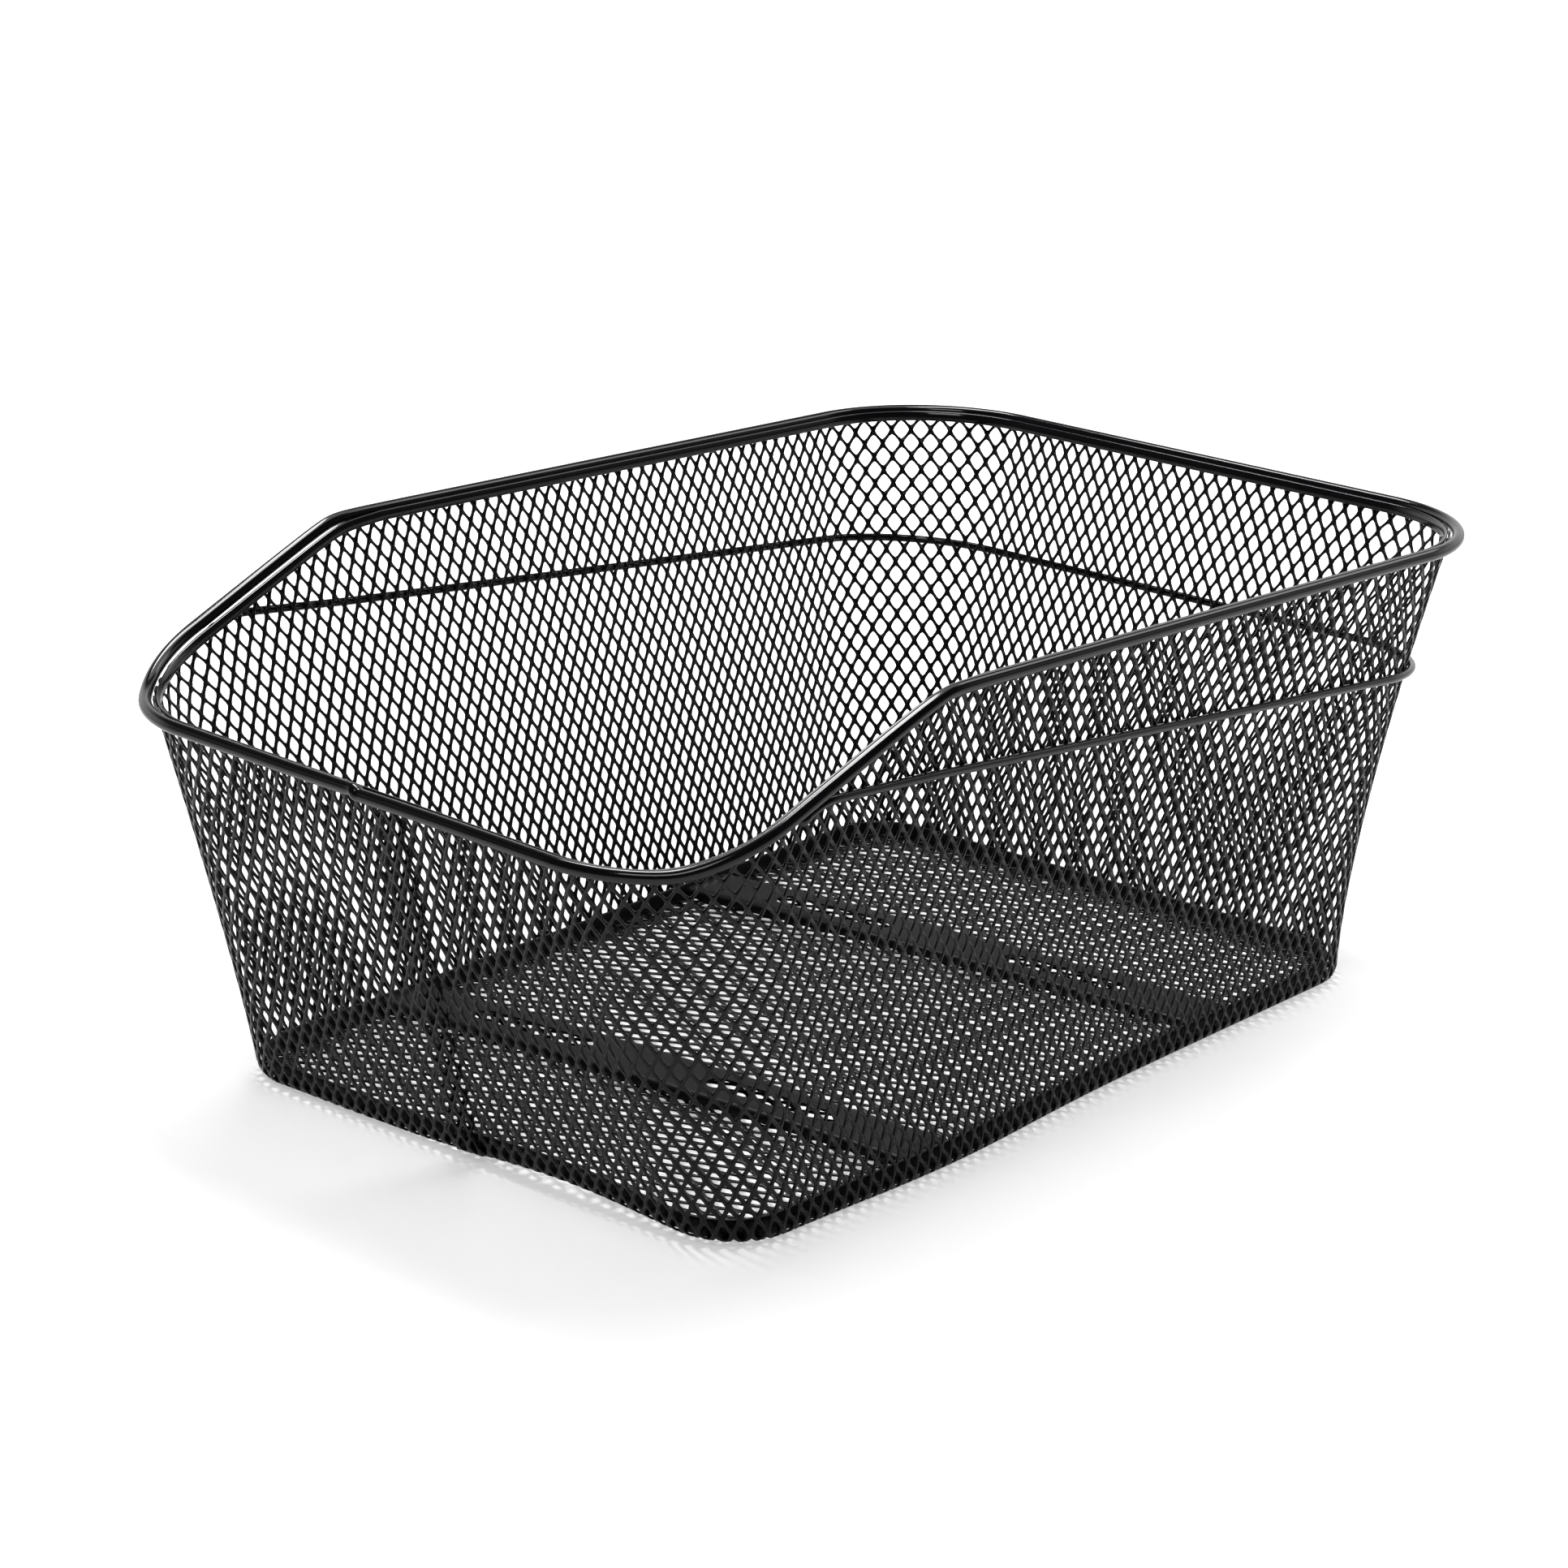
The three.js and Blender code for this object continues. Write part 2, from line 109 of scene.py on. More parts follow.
# Its ends: gap to the rim, place, reach and size of the weld bead, and bluntness of the tip in radii
WELD_GAP, BLUNT_TIP = 0.3 * MM, 0.02
END_BEAD_PLACE, END_BEAD_REACH, END_BEAD_SIZE = 3 * MM, 2 * MM, 1.6

# Inner band: lengths over which it drops past the lower bend and rises again past the upper one
DROP_RUN, RISE_RUN = 25 * MM, 20 * MM

# Straps: stations along each, distance at which points merge, and least angle of a sharp edge
STRAP_STATIONS, MERGE_DISTANCE, SHARP_ANGLE = 25, 0.001 * MM, math.radians(40)

# Powder coat: detail of the orange peel, then scale, detail, range and effect of the mottling
PEEL_DETAIL, MOTTLE_SCALE, MOTTLE_DETAIL = 2, 45, 4
MOTTLE_RANGE, MOTTLE_EFFECT = (0.3, 0.7), (0.85, 1.15)

# Bump of the orange peel
PEEL_STRENGTH, PEEL_HEIGHT = 0.08, 0.1 * MM

# Camera's sensor in millimetres and far limit in metres, and the floor's reach and level in metres
SENSOR_WIDTH, FAR_LIMIT = 36, 100
FLOOR_REACH, FLOOR_LEVEL = 12, -0.0003

# Directions of the white backdrop and of the ceiling, and where the room turns into each of them
BACKDROP_WAY, BACKDROP_RANGE = (0.72, 0.69, 0), (-0.1, 0.5)
CEILING_WAY, CEILING_RANGE = (0, 0, 1), (0.3, 0.6)

# Brightness of the dim room in reflections, and share of the backdrop's light that falls on matt paint
ROOM_LIGHT, WORLD_LIGHT = 0.04, 0.45

# Floor's glow to the camera, which grows round the shadow, and in reflections, towards the backdrop
SHADOW_CENTRE, SHADOW_RANGE, SHADOW_GLOW = (-0.22, 0.02, 0), (0.3, 0.75), 0.45
MIRROR_RANGE, MIRROR_GLOW = (-0.4, 0.2), 0.3

# Lamps: place, point that each one faces, width and depth in metres, and power in watts
BASKET_MIDDLE = (0, 0, 0.08)
LAMPS = {
    "overhead_strip": ((0.19, 0.35, 1.5), (0.115, 0, 0.08), 0.26, 1.3, 17),
    "overhead_soft": ((0.45, 0.25, 1.5), BASKET_MIDDLE, 1.2, 1.2, 6),
    "key_rear_right": ((1.3, -0.2, 1.3), BASKET_MIDDLE, 0.7, 0.7, 4),
    "front_fill": ((-1.1, -0.5, 1.5), BASKET_MIDDLE, 0.8, 0.5, 5),
}


def length(name, description, default):
    """Length property that is given in millimetres and kept in metres."""
    return bpy.props.FloatProperty(
        name=name, description=description, default=default * MM, unit="LENGTH", precision=5
    )


def angle(name, description, default):
    """Angle property that is given in degrees and kept in radians."""
    return bpy.props.FloatProperty(
        name=name, description=description, default=math.radians(default), unit="ROTATION", precision=5
    )


def factor(name, description, default):
    """Plain number property."""
    return bpy.props.FloatProperty(name=name, description=description, default=default, precision=4)


def count(name, description, default):
    """Whole number property."""
    return bpy.props.IntProperty(name=name, description=description, default=default)


def colour(name, description, default):
    """Colour property in linear light."""
    return bpy.props.FloatVectorProperty(
        name=name, description=description, default=default, subtype="COLOR", size=3, min=0, max=1
    )


class TubSizes(bpy.types.PropertyGroup):
    """Form of the tub and its rim line"""

    bottom_length: length("Bottom length", "Length of the wall's outline at the bottom", 346.8)
    bottom_width: length("Bottom width", "Width of the wall's outline at the bottom", 239.8)
    bottom_corner: length("Bottom corner", "Corner radius at the bottom", 24.9)
    flare_height: length("Flare height", "Height at which the flares are measured", 170)
    front_flare: length("Front flare", "Outward lean of the front end", 44.0)
    rear_flare: length("Rear flare", "Outward lean of the rear end", 37.9)
    side_flare: length("Side flare", "Outward lean of each long side", 24.2)
    corner_flare: length("Corner flare", "Growth of the corner radius", 27.9)
    front_power: factor("Front power", "How late the front end leans outwards", 1.0)
    rear_power: factor("Rear power", "How late the rear end leans outwards", 1.34)
    side_power: factor("Side power", "How late the long sides lean outwards", 1.35)
    corner_power: factor("Corner power", "How late the corner radius grows", 0.9)
    front_height: length("Front rim height", "Height of the rim wire's centre at the front", 137.7)
    bend_height: length("Bend height", "Height of the rim wire's centre at the upper bend", 177.75)
    rear_height: length("Rear rim height", "Height of the rim wire's centre at the rear", 169.9)
    slope_start: length("Slope start", "Distance from the front end to the lower bend", 13.4)
    slope_run: length("Slope run", "Length of the sloping part of the rim", 101)
    bend_softness: length("Bend softness", "Reach of the soft bends of the rim", 5)
    bottom_turn: angle("Bottom turn", "How far the bottom is twisted against the rim", 2.52)
    front_tilt: length("Front tilt", "Rise of the front rim's far end and fall of its near end", 1.58)
    front_lift: length("Front lift", "How far the front of the bottom stands off the ground", 3.9)
    floor_crown: length("Floor crown", "Rise of the floor's middle", 1.5)
    bottom_bow: length("Bottom bow", "How far the bottom of the near long side bulges", 4.5)


class SheetSizes(bpy.types.PropertyGroup):
    """Expanded sheets of the wall and the floor"""

    columns: count("Columns", "Diamonds round the wall", 202)
    row_pitch: length("Row pitch", "Height of one wall diamond", 10.3)
    depth: length("Depth", "Thickness of the expanded sheet", 0.95)
    bevel: length("Bevel", "Roundness of each strand's edges", 0.2)
    bond_low: length("Bond at the bottom", "Metal between openings side by side, at the bottom", 2.05)
    bond_high: length("Bond at the top", "Metal between openings side by side, at the top", 1.7)
    tall_low: factor("Open height at the bottom", "Open share of a diamond's height, low down", 0.63)
    tall_high: factor("Open height at the top", "Open share of a diamond's height, high up", 0.68)
    open_power: factor("Open form", "1 for a sharp diamond, 2 for an ellipse", 1.3)
    wall_out: length("Wall offset", "Offset of the sheet from the tub's surface", 0.55)
    corner_stretch: factor("Corner stretch", "Extra width of the diamonds in the corners", 0.25)
    lip_bend: length("Lip bend", "Bend radius at the bottom edge", 4)
    lip: length("Lip", "Turned-in width under the floor", 6)
    edge: length("Edge bead", "Solid border where the sheet is cut", 0.8)
    lap_columns: count("Lap columns", "Half diamonds in the lapped seam", 3)
    lap_phase: factor("Lap phase", "Sideways offset of the lapped layer in diamonds", 0.4)
    floor_wide: length("Floor diamond width", "Width of a floor diamond along the basket", 6.05)
    floor_tall: length("Floor diamond height", "Length of a floor diamond across the basket", 11.6)
    floor_level: length("Floor level", "Height of the floor sheet's middle", 3)
    floor_inset: length("Floor inset", "Distance of the floor's edge from the tub's surface", 4.2)


class WireSizes(bpy.types.PropertyGroup):
    """Round wires and flat strips"""

    rim_radius: length("Rim radius", "Radius of the rim wire", 2.3)
    rim_out: length("Rim offset", "Distance of the rim wire from the tub's surface", 3.6)
    joint_step: length("Joint step", "Height difference of the rim's two ends at their weld", 1.2)
    joint_reach: length("Joint reach", "Length over which the ends come level", 25)
    bead: length("Weld bead", "Thickness of a weld bead on the wires", 0.3)
    mid_radius: length("Mid wire radius", "Radius of the reinforcing wire", 1.5)
    mid_out: length("Mid wire offset", "Distance of the wire from the tub's surface", 2.65)
    mid_bend_drop: length("Mid wire drop at the bend", "How far its line lies below the bend", 19.5)
    mid_rear_drop: length("Mid wire drop at the rear", "How far it lies below the rim at the rear", 51.7)
    mid_end_run: length("Mid wire end", "Length of each welded end", 12)
    band_height: length("Band height", "Height of the strip inside the rim", 3.6)
    band_thickness: length("Band thickness", "Thickness of the strip inside the rim", 1.2)
    band_drop: length("Band drop", "Distance of the strip's top below the rim's centre", -0.7)
    band_gap: length("Band gap", "Extra drop of the strip on the slopes", 1.25)
    band_out: length("Band offset", "Offset of the strip's outer face", -0.35)
    hoop_height: length("Hoop height", "Height of the strip round the floor", 7.3)
    hoop_thickness: length("Hoop thickness", "Thickness of the strip round the floor", 1.5)
    hoop_level: length("Hoop level", "Height of the hoop's lower edge", 1.0)
    hoop_out: length("Hoop offset", "Offset of the hoop's outer face", -2.6)
    strip_round: length("Strip rounding", "Rounding of the strips' edges", 0.25)
    strap_flat: factor("Strap flatness", "Height of the straps as a share of the frame's", 0.6)
    strap_ahead: length("Strap ahead", "How far the front strap is welded ahead of its place", 4)
    strap_turn: angle("Strap turn", "How far each strap is welded askew on the floor", 4.3)


class FinishSettings(bpy.types.PropertyGroup):
    """Powder coat of the wires, the sheets and the strips"""

    wire_colour: colour("Wire colour", "Paint on the wires", (0.005, 0.005, 0.006))
    sheet_colour: colour("Sheet colour", "Paint on the expanded sheets", (0.006, 0.006, 0.007))
    strip_colour: colour("Strip colour", "Paint on the hoop and the straps", (0.006, 0.006, 0.007))
    wire_rough: factor("Wire roughness", "Roughness of the paint on the wires", 0.12)
    sheet_rough: factor("Sheet roughness", "Roughness of the paint on the sheets", 0.22)
    strip_rough: factor("Strip roughness", "Roughness of the paint on the strips", 0.36)
    wire_shine: factor("Wire shine", "Specular level of the paint on the wires", 0.5)
    sheet_shine: factor("Sheet shine", "Specular level of the paint on the sheets", 0.3)
    strip_shine: factor("Strip shine", "Specular level of the paint on the strips", 0.14)
    grain_size: length("Grain size", "Size of the coat's fine orange peel", 0.9)


class StageSettings(bpy.types.PropertyGroup):
    """Camera, floor and lights"""

    focal: factor("Focal length", "Focal length on a 36 mm sensor", 98.33)
    shift_x: factor("Shift X", "Sideways lens shift", 0.00698)
    shift_y: factor("Shift Y", "Upward lens shift", -0.00185)
    camera_place: bpy.props.FloatVectorProperty(
        name="Camera place",
        description="Place of the camera",
        default=(-1.04584, -1.00416, 0.573),
        subtype="TRANSLATION",
    )
    camera_target: bpy.props.FloatVectorProperty(
        name="Camera target",
        description="Point that the camera looks at",
        default=(0.03817, 0.05867, 0.06772),
        subtype="TRANSLATION",
    )
    floor_colour: colour("Floor colour", "Colour of the floor", (0.82, 0.82, 0.82))


def lean_share(z, power, tub):
    """Share of the full flare at a height: the height over the flare height, to a power."""
    return (np.maximum(z, 0) / tub.flare_height) ** power


def outline_point(share, z, out, tub, stretch):
    """Point of the wall at a share of the way round, a height and an offset.

    The outline is a rounded rectangle: a core rectangle plus the corner radius along the normal. Each
    stretch moves along the core or turns the normal. The corners count for less of the way round by
    the stretch, so whatever is spread evenly round the wall is wider there.
    """
    share, z, out = np.broadcast_arrays(share, z, out)
    lean = lean_share(z, tub.corner_power, tub)
    front = tub.bottom_length / 2 + tub.front_flare * lean_share(z, tub.front_power, tub)
    rear = tub.bottom_length / 2 + tub.rear_flare * lean_share(z, tub.rear_power, tub)
    half = tub.bottom_width / 2 + tub.side_flare * lean_share(z, tub.side_power, tub)
    corner = tub.bottom_corner + tub.corner_flare * lean
    fore, back, inner = corner - front, rear - corner, half - corner
    none = np.zeros_like(inner)
    arc = corner * math.pi / 2 / (1 + stretch * lean)
    side = back - fore
    lengths = np.stack([inner, arc, side, arc, 2 * inner, arc, side, arc, inner])
    ends = np.cumsum(lengths, axis=0)
    run = (share % 1) * ends[-1]
    index = (run >= ends[:-1]).sum(axis=0)[None]

    def pick(rows):
        """Value of the row that belongs to each point's stretch."""
        return np.take_along_axis(np.stack(np.broadcast_arrays(*rows)), index, 0)[0]

    part = (run - pick([none, *ends[:-1]])) / pick(lengths)
    x_from = pick([fore, fore, fore, back, back, back, back, fore, fore])
    x_to = pick([fore, fore, back, back, back, back, fore, fore, fore])
    y_from = pick([none, -inner, -inner, -inner, -inner, inner, inner, inner, inner])
    y_to = pick([-inner, -inner, -inner, -inner, inner, inner, inner, inner, none])
    turn = ANGLE_START[index[0]] + (ANGLE_END - ANGLE_START)[index[0]] * part
    x = x_from + (x_to - x_from) * part + (corner + out) * np.cos(turn)
    y = y_from + (y_to - y_from) * part + (corner + out) * np.sin(turn)
    return np.stack([x + FRAME_SHIFT, y, z], axis=-1)


def rim_line(tub):
    """Height of the rim along the basket: level, a climb and a slight fall, joined by soft hinges."""
    front_lean = tub.front_flare * lean_share(tub.front_height, tub.front_power, tub)
    rear_lean = tub.rear_flare * lean_share(tub.rear_height, tub.rear_power, tub)
    start = FRAME_SHIFT + tub.slope_start - (tub.bottom_length / 2 + front_lean)
    end = start + tub.slope_run
    rear = FRAME_SHIFT + tub.bottom_length / 2 + rear_lean
    climb = (tub.bend_height - tub.front_height) / tub.slope_run
    fall = (tub.rear_height - tub.bend_height) / (rear - end)

    def hinge(run):
        """Soft bend: half of the run plus its length against the softness."""
        return 0.5 * (run + np.hypot(run, tub.bend_softness))

    def height(x):
        """Front height, plus the climb past the lower hinge, turned into the fall past the upper one."""
        return tub.front_height + climb * hinge(x - start) + (fall - climb) * hinge(x - end)

    return height, start, end, rear, climb


def follow(share, height_of, out, tub):
    """Points round the wall whose height follows a line along the basket, settled in a few rounds."""
    z = height_of(np.zeros_like(share))
    for _ in range(SETTLE_ROUNDS):
        z = height_of(outline_point(share, z, out, tub, 0)[..., 0])
    return outline_point(share, z, out, tub, 0)


def settled(points, tub):
    """Points moved as the welded basket has warped.

    The floor crowns by a product of two parabolas, the bottom's near front corner lifts over a bell
    across and a ramp along, the near long side's bottom bulges over a bell along, the front rim tilts in
    proportion to the height and the distance from the middle, and the bottom turns about the upright
    axis by less the higher a point lies.
    """
    x, y, z = points[:, 0], points[:, 1], points[:, 2]
    _, start, end, *_ = rim_line(tub)
    half_length, half_width = tub.bottom_length / 2, tub.bottom_width / 2
    crown = np.maximum(1 - (x / half_length) ** 2, 0) * np.maximum(1 - (y / half_width) ** 2, 0)
    ahead = np.clip((-x - LIFT_FROM) / (half_length - LIFT_FROM), 0, 1)
    low = np.clip(1 - z / LIFT_HEIGHT, 0, 1)
    bell = np.exp(-(((y - LIFT_CENTRE) / LIFT_REACH) ** 2)) * low
    bow = np.exp(-(((x - BOW_CENTRE) / BOW_REACH) ** 2)) * low * np.clip(-y / half_width, 0, 1) ** 2
    sloping = np.clip((end - x) / (end - start), 0, 1) * np.clip(z / tub.front_height, 0, 1)
    turn = tub.bottom_turn * np.clip(1 - z / tub.flare_height, 0, 1)
    tilt = tub.front_tilt * sloping * y / half_width
    level = z + tub.floor_crown * crown + tub.front_lift * ahead * bell + tilt
    y = y - tub.bottom_bow * bow
    turned_x = x * np.cos(turn) - y * np.sin(turn)
    turned_y = x * np.sin(turn) + y * np.cos(turn)
    return np.stack([turned_x, turned_y, level], axis=1)


def make_piece(name, points, faces, flat, node, material):
    """Mesh object from points and groups of faces, each group smooth or flat, in place of a node."""
    points = settled(points, bpy.context.scene.basket_tub)
    mesh = bpy.data.meshes.new(name)
    mesh.vertices.add(len(points))
    mesh.vertices.foreach_set("co", np.ascontiguousarray(points, np.float32).ravel())
    sizes = np.concatenate([np.full(len(group), group.shape[1]) for group in faces])
    mesh.loops.add(int(sizes.sum()))
    corners = np.concatenate([group.ravel() for group in faces]).astype(np.int32)
    mesh.loops.foreach_set("vertex_index", corners)
    mesh.polygons.add(len(sizes))
    mesh.polygons.foreach_set("loop_start", (np.cumsum(sizes) - sizes).astype(np.int32))
    smooth = np.concatenate([np.full(len(group), not even) for group, even in zip(faces, flat)])
    mesh.polygons.foreach_set("use_smooth", smooth)
    mesh.update(calc_edges=True)
    if mesh.validate():
        raise RuntimeError(f"{name} has faces that Blender had to repair")
    place_piece(name, mesh, node, material)


def place_piece(name, mesh, node, material):
    """Object of a finished mesh that rides on the basket's one body and stands in for a node."""
    piece = bpy.data.objects.new(name, mesh)
    bpy.context.scene.collection.objects.link(piece)
    mesh.materials.clear()
    mesh.materials.append(material)
    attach(piece, "root")
    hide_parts(node)


def ring_faces(sections, sides, closed):
    """Quads between neighbouring sections of a loft, with both ends capped on an open one."""
    spans = np.arange(sections if closed else sections - 1)[:, None]
    side = np.arange(sides)[None]
    after, beside = (spans + 1) % sections, (side + 1) % sides
    quads = np.stack(
        [
            spans * sides + side,
            after * sides + side,
            after * sides + beside,
            spans * sides + beside,
        ],
        axis=-1,
    ).reshape(-1, 4)
    if closed:
        return [quads]
    last = (sections - 1) * sides
    ends = np.stack([np.arange(sides), last + np.arange(sides)[::-1]])
    return [quads, ends]


def tube(path, radius, sides, closed):
    """Round wire: at each point of the path a circle square to it, lofted along the path."""
    if closed:
        along = np.roll(path, -1, axis=0) - np.roll(path, 1, axis=0)
    else:
        along = np.gradient(path, axis=0)
    along /= np.linalg.norm(along, axis=1, keepdims=True)
    across = np.stack([along[:, 1], -along[:, 0], np.zeros(len(path))], axis=1)
    across /= np.linalg.norm(across, axis=1, keepdims=True)
    upward = np.cross(across, along)
    turn = np.arange(sides) * 2 * math.pi / sides
    radius = np.broadcast_to(radius, len(path))[:, None, None]
    sideways = np.cos(turn)[None, :, None] * across[:, None]
    circle = sideways + np.sin(turn)[None, :, None] * upward[:, None]
    points = path[:, None] + radius * circle
    return points.reshape(-1, 3), ring_faces(len(path), sides, closed)


def strip(share, top, bottom, out, thick, bevel, tub):
    """Flat strip standing inside the wall: a rectangle with cut corners, carried round the outline."""
    outs = np.array([out, out - bevel, out - thick + bevel, out - thick])
    order = np.array([0, 0, 1, 2, 3, 3, 2, 1])
    upper = np.stack([top - bevel, top, top, top - bevel], axis=1)
    lower = np.stack([bottom + bevel, bottom, bottom, bottom + bevel], axis=1)
    level = np.concatenate([lower[:, :1], upper, lower[:, 3:], lower[:, 2:3], lower[:, 1:2]], axis=1)
    points = outline_point(share[:, None], level, outs[order][None], tub, 0)
    return points.reshape(-1, 3), ring_faces(len(share), len(order), True)


def hole_outline(sheet):
    """Points round an opening of half width and height 1: a superellipse from diamond to oval."""
    turn = np.arange(HOLE_POINTS) * 2 * math.pi / HOLE_POINTS
    power = 2 / sheet.open_power
    wide = np.sign(np.cos(turn)) * np.abs(np.cos(turn)) ** power
    tall = np.sign(np.sin(turn)) * np.abs(np.sin(turn)) ** power
    return np.round(wide, 9), np.round(tall, 9)


def expanded_sheet(across, up, period, place, sheet):
    """Expanded metal over given openings.

    Openings sit at half steps across and up whose sum is even. Each has a ring of strand outside and
    inside, from the strand's ridge to the edge of the opening, and a wall through the sheet. The metal
    between openings side by side keeps its width where the sheet is stretched and thins upwards. place
    turns steps across, steps up, depth and the border's width into points. Ridges that belong to one
    opening only are closed by a cut face.
    """
    # Quarter steps from an opening's middle to the points of the ridge round it
    ridge_across = np.array([2, 1, 0, -1, -2, -1, 0, 1])
    ridge_up = np.array([0, 1, 2, 1, 0, -1, -2, -1])
    quarter_across = 2 * across[:, None] + ridge_across
    if period:
        quarter_across = quarter_across % (2 * period)
    quarter_up = 2 * up[:, None] + ridge_up
    key = np.stack([quarter_across.ravel(), quarter_up.ravel()])
    ridges, ridge = np.unique(key, axis=1, return_inverse=True)
    ridge = ridge.reshape(-1, RIDGE_POINTS)
    wide, tall = hole_outline(sheet)
    before, after = (place((across + side) / 2, up / 2, 0, 0) for side in (-1, 1))
    pitch = np.linalg.norm(after - before, axis=1)
    high = np.clip(before[:, 2] / STRAND_HEIGHT, 0, 1)
    bond = sheet.bond_low + (sheet.bond_high - sheet.bond_low) * high
    open_wide = np.clip(1 - bond / pitch, *OPEN_LIMITS)
    open_tall = sheet.tall_low + (sheet.tall_high - sheet.tall_low) * high
    hole_across = (across[:, None] + open_wide[:, None] * wide).ravel() / 2
    hole_up = (up[:, None] + open_tall[:, None] * tall).ravel() / 2
    deep, edge = sheet.depth / 2, sheet.depth / 2 - sheet.bevel
    points = np.concatenate(
        [
            place(ridges[0] / 4, ridges[1] / 4, deep, 0),
            place(ridges[0] / 4, ridges[1] / 4, -deep, 0),
            place(hole_across, hole_up, edge, sheet.edge),
            place(hole_across, hole_up, -edge, sheet.edge),
        ]
    )
    ridge_count, hole_count = ridges.shape[1], len(hole_across)
    rim = 2 * ridge_count + np.arange(hole_count).reshape(-1, HOLE_POINTS)
    quads, triangles = [], []
    for step in range(4):
        here, middle, there = (ridge[:, (2 * step + k) % RIDGE_POINTS] for k in range(3))
        a, b, c, d = (rim[:, (3 * step + k) % HOLE_POINTS] for k in range(4))
        quads += [np.stack([here, middle, b, a], axis=1), np.stack([middle, there, d, c], axis=1)]
        triangles += [np.stack([middle, c, b], axis=1)]
    outer_quads, outer_triangles = np.concatenate(quads), np.concatenate(triangles)
    outer = np.arange(2 * ridge_count + hole_count)
    inner = outer + np.where(outer < ridge_count, ridge_count, hole_count)
    inner_quads, inner_triangles = inner[outer_quads[:, ::-1]], inner[outer_triangles[:, ::-1]]
    after = np.roll(rim, -1, axis=1)
    walls = np.stack([rim, after, after + hole_count, rim + hole_count], axis=-1).reshape(-1, 4)
    sides = np.stack([ridge, np.roll(ridge, -1, axis=1)], axis=-1).reshape(-1, 2)
    _, first, uses = np.unique(np.sort(sides, axis=1), axis=0, return_index=True, return_counts=True)
    free = sides[first[uses == 1]]
    cuts = np.stack([free[:, 0], free[:, 0] + ridge_count, free[:, 1] + ridge_count, free[:, 1]], axis=1)
    return points, [outer_quads, outer_triangles, inner_quads, inner_triangles, walls, cuts]


def wall_place(tub, sheet, out, phase):
    """Function from steps on the wall's sheet to points.

    Steps up give a distance along the sheet from the top of the bottom bend: above it the sheet
    follows the flared wall up to the rim line, below it turns a quarter circle and runs in flat.
    """
    height, *_ = rim_line(tub)
    grid = np.linspace(0, 1, RIM_LINE_STATIONS)
    rim = follow(grid, height, 0, tub)[:, 2]
    bend_level = sheet.depth / 2 + sheet.lip_bend
    quarter = sheet.lip_bend * math.pi / 2

    def place(across, up, depth, border):
        """Steps across and up to a point on the wall, its bottom bend or its lip, off it by the depth."""
        share = (across + phase) / sheet.columns
        rise = up * sheet.row_pitch + np.interp(share % 1, WAY_ROUND, ROW_DIP) * MM
        lean = np.interp(share % 1, WAY_ROUND, COLUMN_LEAN) * rise
        share = share + lean / (sheet.columns * COLUMN_PITCH)
        top = np.interp(share % 1, grid, rim) - bend_level
        rise = np.clip(rise, border - quarter - sheet.lip, top - border)
        turn = np.clip(-rise / sheet.lip_bend, 0, math.pi / 2)
        run_in = np.maximum(-rise - quarter, 0)
        offset = sheet.lip_bend * (np.cos(turn) - 1) - run_in + depth * np.cos(turn)
        z = bend_level - sheet.lip_bend * np.sin(turn) - depth * np.sin(turn) + np.maximum(rise, 0)
        return outline_point(share, z, out + offset, tub, sheet.corner_stretch)

    return place


def wall_openings(across, place, sheet, tub):
    """Openings of the wall that are at least partly below the rim and above the lip's edge."""
    rows = np.arange(-ROWS_BELOW, 2 * int(tub.bend_height / sheet.row_pitch) + ROWS_ABOVE)
    across, up = (grid.ravel() for grid in np.meshgrid(across, rows))
    even = (across + up) % 2 == 0
    across, up = across[even], up[even]
    reach = sheet.tall_low / 2
    low = place(across / 2, up / 2 - reach, 0, sheet.edge)
    high = place(across / 2, up / 2 + reach, 0, sheet.edge)
    tall = np.linalg.norm(high - low, axis=1)
    kept = tall > LEAST_OPENING * sheet.row_pitch * sheet.tall_low
    return across[kept], up[kept]


